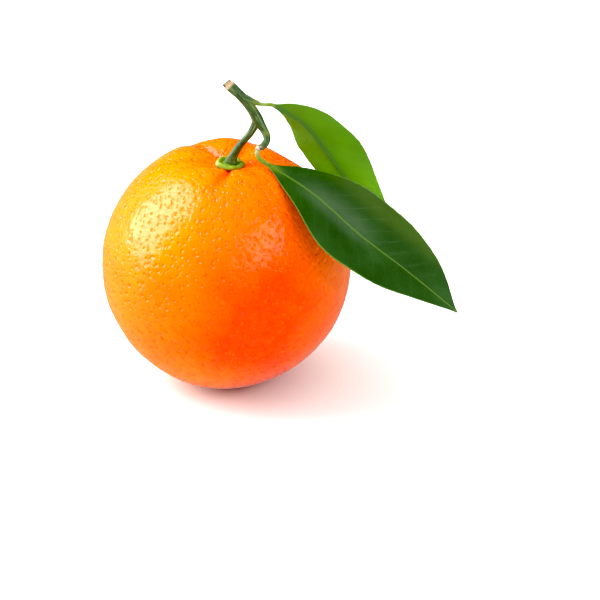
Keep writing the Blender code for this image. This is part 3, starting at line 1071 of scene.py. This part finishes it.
def blade_shape(leaf, settings):
    """Rings and stored values of a leaf blade.

    At a share u along the midrib the half width is w * sin(pi * u**a)**b. Each ring is a thin lens across the
    blade, whose halves fold up from the midrib by an angle. The margin waves. The midrib is a groove above
    and a ridge below. The side veins are evenly spaced lines that slant to the tip, sunk above, raised below.
    """
    share = np.linspace(0.0, 1.0, BLADE_RINGS)
    centre = smooth_path(np.asarray(leaf["midrib"]) * MM, share)
    ahead, up, across = path_frames(centre, (0.0, 0.0, 1.0))
    roll = np.radians(np.interp(share, (0.0, 1.0), leaf["roll"]))[:, None]
    up = up * np.cos(roll) + np.cross(ahead, up) * np.sin(roll)
    across = np.cross(ahead, up)
    length = path_length(centre)[:, None]
    swell = np.clip(np.sin(math.pi * share ** leaf["taper"][0]), 0.0, None) ** leaf["taper"][1]
    teeth = 1.0 + MARGIN_TOOTH * np.sin(length[:, 0] / TOOTH_LENGTH) * np.sin(length[:, 0] / TOOTH_GROUPS)
    neck = 1.0 - 0.5 * bell(share, leaf["neck"])
    end_width = (0.40 + 0.45 * (1.0 - share)) * MM
    half_width = np.hypot(leaf["half_width"] * MM * swell * teeth * neck, end_width)[:, None]

    angle = full_turn(BLADE_AROUND)[None, :]
    side = -np.sign(np.cos(angle)) * np.abs(np.cos(angle)) ** 1.5
    face = np.sin(angle)
    out = np.abs(side)
    offset = side * half_width / MM
    along = np.broadcast_to(length, offset.shape)
    grow = np.sin(math.pi * np.clip(share, 0.02, 0.98))[:, None]

    ground = np.stack([along, offset * MM, np.zeros_like(offset)], axis=-1).reshape(-1, 3)
    veins = length / MM - VEIN_SLOPE * np.abs(offset) + SIDE_VEIN_CURVE * offset**2
    veins = veins + np.where(offset > 0, 0.5, 0.0) * VEIN_SPACING
    veins = veins / VEIN_SPACING + 0.10 * random_field(ground, 13 * MM, leaf["seed"]).reshape(offset.shape)
    to_vein = np.abs(veins - np.floor(veins) - 0.5) * VEIN_SPACING * VEIN_SQUARE
    line = bell(to_vein, 0.42) * ramp(out, 0.0, 0.12) * (1.0 - ramp(out, 0.55, 0.98))
    dimples = random_field(ground, 5.0 * MM, leaf["seed"] + 1).reshape(offset.shape)

    taper = (0.30 + 0.70 * (1.0 - share))[:, None]
    rib = bell(offset, 0.40 * taper + 0.10)
    wide_rib = bell(offset, 0.62 * taper + 0.12)
    lens = np.abs(face) ** 0.35
    above = settings.thickness * 0.5 * lens - (RIB_GROOVE * rib * taper + settings.vein_depth * line) * lens
    below = RIB_KEEL * wide_rib * taper + 0.7 * settings.vein_depth * line
    below = settings.thickness * 0.5 * lens + below * lens
    thick = np.where(face >= 0.0, above, -below)
    thick[[0, -1]] *= END_THICKNESS

    fold = math.radians(leaf["fold"])
    crease = np.sqrt(out**2 + 0.0016) - 0.04
    lift = half_width * math.sin(fold) * crease
    lift -= half_width * 0.055 * ramp(out, 0.25, 1.0) * grow
    wave = leaf["wave"] * MM * out**2 * grow * np.sin(length / WAVE_LENGTH + np.where(side > 0, 1.7, 0.0))
    lift = lift + wave + 0.05 * MM * dimples * grow
    rings = centre[:, None] + across[:, None] * (side * half_width * math.cos(fold))[..., None]
    rings = rings + up[:, None] * (lift + thick)[..., None]
    values = {
        "blade_place": np.stack([along / MM, offset, np.broadcast_to(out, offset.shape)], axis=-1),
        "vein_phase": veins,
        "upper_side": np.broadcast_to(ramp(face, -0.05, 0.05), offset.shape),
        "rib_width": np.broadcast_to(taper, offset.shape),
    }
    return rings, {name: with_ends(value) for name, value in values.items()}


def leaf_material(name, leaf, upper_tone, under_tone):
    """A leaf: glossy above and dull below, with a painted sheen beside the midrib above, a pale midrib, side
    veins and a fine net, and light through it.
    """
    shader = Shader(name)
    place = shader.attribute("blade_place", "Vector")
    along, across, out = (shader.part_of(place, axis) for axis in "XYZ")
    upper = shader.attribute("upper_side")
    rib_width = shader.attribute("rib_width") + 0.25
    phase = shader.attribute("vein_phase")
    cloud = shader.noise(75.0, 3.0)
    fine = shader.noise(700.0, 3.0)

    to_rib = across.absolute()
    rib = (to_rib / rib_width).step(0.52, 0.15)
    rib_edge = (to_rib / rib_width).step(2.1, 0.5)
    to_vein = (phase.fraction() - 0.5).absolute() * (VEIN_SPACING * VEIN_SQUARE)
    between = 1.0 - out.step(0.60, 0.97)
    vein = to_vein.step(0.26, 0.04) * between
    halo = to_vein.step(1.3, 0.0) * between
    second = ((phase * 2.0 + 0.5).fraction() - 0.5).absolute().step(0.14, 0.02) * between * fine
    net = shader.cells(620.0, "DISTANCE_TO_EDGE").step(0.10, 0.0)

    light = shade(upper_tone, 1.7, 0.008)
    # Painted sheen: a band beside the midrib over the middle of the blade's length.
    painted_sheen = across.step(-9.0, -0.5) * across.step(6.5, 1.0) * along.step(9.0, 22.0) * along.step(46.0, 32.0)
    above = shader.painted(
        upper_tone,
        (light, cloud.step(0.45, 0.78) * 0.45),
        (shade(upper_tone, 0.72), cloud.step(0.48, 0.25) * 0.8),
        (OLIVE_EDGE, across.step(-6.0, -14.0) * 0.55),
        (PAINTED_SHEEN_TONE, painted_sheen * (0.15 + cloud * 0.9)),
        (light, halo * 0.08),
        (shade(upper_tone, 1.8, 0.003), vein * 0.035 + second * 0.02),
        (light, net * 0.10),
        (RIB_TONE, rib * 0.7),
        (RIB_START_TONE, rib_edge * along.step(9.0, 2.0)),
        (MARGIN_TONE, out.step(0.962, 0.99) * 0.75),
    )
    below = shader.painted(
        under_tone,
        (shade(under_tone, 0.82), cloud.step(0.35, 0.7)),
        (shade(under_tone, 0.6), vein * 0.18 + net * 0.10),
        (UNDER_RIB_TONE, rib_edge * 0.6),
    )

    relief = vein * -0.00003 + second * -0.000012 + net * -0.000015 + fine * 0.00003 + cloud * 0.0002
    normal = shader.bump(relief)
    roughness = leaf["gloss"] + (1.0 - upper) * 0.26 + (fine - 0.5) * 0.10
    solid = shader.principled(
        base_color=shader.mix(below, above, upper), roughness=roughness, normal=normal,
        specular_ior_level=0.38,
    )
    glow_tone = leaf["glow_tone"]
    through = shader.painted(
        shade(glow_tone, 0.56),
        (glow_tone, along.step(0.0, 50.0) * 0.6 + cloud.step(0.3, 0.7) * 0.5),
        (RIB_GLOW, to_rib.step(5.5, 0.0) * 0.45),
        (shade(glow_tone, 0.5, 0.03), rib_edge * 0.5 + vein * 0.2),
    )
    glowing = shader.node("ShaderNodeBsdfTranslucent", {}, {"Color": through, "Normal": normal})
    return shader.finish(shader.mix_shader(solid, glowing, leaf["glow"]))


class ORANGE_OT_leaves(bpy.types.Operator):
    """Build both leaf blades"""

    bl_idname = "orange.add_leaves"
    bl_label = "Add Leaves"

    def execute(self, context):
        settings = context.scene.orange_leaves
        for name, leaf in LEAVES.items():
            rings, values = blade_shape(leaf, settings)
            blade = make_mesh("orange_" + name, *skin_rings(rings), values)
            green = tuple(getattr(settings, leaf["green"]))
            under = shade(settings.underside, leaf["under"])
            finish_piece(blade, name, leaf_material(name, leaf, green, under))
        return {"FINISHED"}


# -------- stage

WHITE = (1.0, 1.0, 1.0, 1.0)
FLOOR_REACH = 3.0
FLOOR_DROP = 0.05 * MM
FLOOR_TONE = (0.82, 0.82, 0.82)
FLOOR_GLOW = 0.7
# Each softbox has its direction from the fruit's middle, its distance and its size.
KEY_SOFTBOX = ((-0.82, 0.12, 0.55), 0.75, (0.58, 0.76))
FILL_SOFTBOX = ((0.66, -0.48, 0.58), 0.80, (0.92, 0.22))
SEEN_WHITE = 1.05


class StageSettings(bpy.types.PropertyGroup):
    """The camera and the lights."""

    elevation: number_property(
        "Camera Elevation", "Angle at which the camera looks down", math.radians(27.0), subtype="ANGLE",
    )
    distance: length_property("Camera Distance", "From the camera to the middle of the fruit", 0.6)
    lens: number_property("Lens", "Focal length in millimetres", 111.9, min=10.0)
    aim_right: length_property("Aim Right", "How far right of the fruit's middle the camera aims", 23.73 * MM)
    aim_down: length_property("Aim Down", "How far below the fruit's middle the camera aims", 11.42 * MM)
    key_power: number_property("Key Light", "Power of the large soft light at the left", 12.6, unit="POWER")
    fill_power: number_property("Fill Light", "Power of the soft light at the right", 2.4, unit="POWER")
    surround: number_property("Surround", "Brightness of the surround's sides", 0.42, min=0.0)
    overhead: number_property("Overhead", "How much brighter the surround is straight overhead", 1.9, min=0.0)
    mirrored: number_property("Mirrored Surround", "Brightness of the surround in reflections", 0.12, min=0.0)
    mirrored_floor: number_property("Mirrored Floor", "Brightness of the floor in reflections", 0.42, min=0.0)
    black_level: number_property(
        "Black Level", "Brightness shown as black", 0.028, min=0.0, max=0.2, precision=3,
    )


def add_floor(settings):
    """A wide pale floor, self-lit more and more at a distance from the part, and dim in reflections."""
    ends = (-FLOOR_REACH, FLOOR_REACH)
    points = np.array([(x, y, -FLOOR_DROP) for x in ends for y in ends])
    floor = make_mesh("studio_floor", points, [[0, 2, 3, 1]])
    shader = Shader("studio_floor")
    surface = shader.principled(
        base_color=FLOOR_TONE, roughness=0.9, specular_ior_level=0.0, emission_color=WHITE[:3],
        emission_strength=shader.distance((0.0, 0.0, 0.0)).step(0.08, 0.9) * FLOOR_GLOW,
    )
    mirrored = shader.node("ShaderNodeEmission", {}, {"Strength": settings.mirrored_floor})
    glossy = shader.node("ShaderNodeLightPath", {}, {}, "Is Glossy Ray")
    floor.data.materials.append(shader.finish(shader.mix_shader(surface, mirrored, glossy)))


def add_softbox(name, direction, distance, size, power):
    """A rectangular area light that faces the middle of the fruit from a direction."""
    light = bpy.data.lights.new(name, "AREA")
    light.shape = "RECTANGLE"
    light.size, light.size_y = size
    light.energy = power
    lamp = bpy.data.objects.new(name, light)
    direction = Vector(direction).normalized()
    lamp.location = Vector(FRUIT_MIDDLE) + direction * distance
    lamp.rotation_euler = direction.to_track_quat("Z", "Y").to_euler()
    bpy.context.scene.collection.objects.link(lamp)


def add_surround(settings):
    """A white surround, brighter overhead: full white to the camera and dimmer in reflections."""
    shader = Shader("studio_surround", world=True)
    upward = shader.part_of(shader.place, "Z").at_least(0.0)
    light = settings.surround + upward**1.5 * settings.overhead
    surface = shader.node("ShaderNodeBackground", {}, {"Color": WHITE, "Strength": light})
    for strength, ray in ((settings.mirrored, "Is Glossy Ray"), (SEEN_WHITE, "Is Camera Ray")):
        seen = shader.node("ShaderNodeBackground", {}, {"Color": WHITE, "Strength": strength})
        surface = shader.mix_shader(surface, seen, shader.node("ShaderNodeLightPath", {}, {}, ray))
    bpy.context.scene.world = shader.finish(surface)


def add_camera(settings):
    """A camera that looks along +Y and down, aimed beside the fruit so that the leaves are in view too."""
    data = bpy.data.cameras.new("studio_camera")
    data.lens = settings.lens
    data.sensor_width = 36.0
    data.clip_start = 0.01
    camera = bpy.data.objects.new("studio_camera", data)
    down, level = math.sin(settings.elevation), math.cos(settings.elevation)
    ahead = Vector((0.0, level, -down))
    above = Vector((0.0, down, level))
    aim = Vector(FRUIT_MIDDLE) + Vector((settings.aim_right, 0.0, 0.0)) - above * settings.aim_down
    camera.location = aim - ahead * settings.distance
    camera.rotation_euler = (-ahead).to_track_quat("Z", "Y").to_euler()
    bpy.context.scene.collection.objects.link(camera)
    bpy.context.scene.camera = camera


def develop(view, black_level):
    """Plain display colours, with everything darker than the black level shown black."""
    view.view_transform = "Standard"
    view.use_curve_mapping = True
    view.curve_mapping.black_level = (black_level,) * 3
    view.curve_mapping.update()


class ORANGE_OT_stage(bpy.types.Operator):
    """Add the floor, the surround, the soft lights and the camera"""

    bl_idname = "orange.add_stage"
    bl_label = "Add Stage"

    def execute(self, context):
        settings = context.scene.orange_stage
        add_floor(settings)
        add_surround(settings)
        add_softbox("key_softbox", *KEY_SOFTBOX, settings.key_power)
        add_softbox("fill_softbox", *FILL_SOFTBOX, settings.fill_power)
        add_camera(settings)
        develop(context.scene.view_settings, settings.black_level)
        return {"FINISHED"}


# -------- panel and registration

class ORANGE_PT_panel(bpy.types.Panel):
    """Lists the pieces that can be built"""

    bl_idname = "ORANGE_PT_panel"
    bl_label = "Whole Orange"
    bl_space_type = "VIEW_3D"
    bl_region_type = "UI"
    bl_category = "Orange"

    def draw(self, context):
        for group, settings in SETTINGS.items():
            box = self.layout.box()
            for operator in OPERATORS[group]:
                box.operator(operator.bl_idname)
            for name in settings.__annotations__:
                box.prop(getattr(context.scene, group), name)


SETTINGS = {
    "orange_fruit": FruitSettings,
    "orange_stem": StemSettings,
    "orange_leaves": LeafSettings,
    "orange_stage": StageSettings,
}
OPERATORS = {
    "orange_fruit": (ORANGE_OT_fruit,),
    "orange_stem": (ORANGE_OT_calyx, ORANGE_OT_twig, ORANGE_OT_petioles),
    "orange_leaves": (ORANGE_OT_leaves,),
    "orange_stage": (ORANGE_OT_stage,),
}


def register():
    """Register the classes and give the scene its settings."""
    for group, settings in SETTINGS.items():
        bpy.utils.register_class(settings)
        setattr(bpy.types.Scene, group, PointerProperty(type=settings))
        for operator in OPERATORS[group]:
            bpy.utils.register_class(operator)
    bpy.utils.register_class(ORANGE_PT_panel)


def unregister():
    """Undo register."""
    bpy.utils.unregister_class(ORANGE_PT_panel)
    for group, settings in SETTINGS.items():
        for operator in OPERATORS[group]:
            bpy.utils.unregister_class(operator)
        delattr(bpy.types.Scene, group)
        bpy.utils.unregister_class(settings)


def main():
    """Build every piece and the stage."""
    register()
    bpy.ops.orange.add_stage()
    bpy.ops.orange.add_fruit()
    bpy.ops.orange.add_calyx()
    bpy.ops.orange.add_twig()
    bpy.ops.orange.add_petioles()
    bpy.ops.orange.add_leaves()


if __name__ == "__main__":
    main()
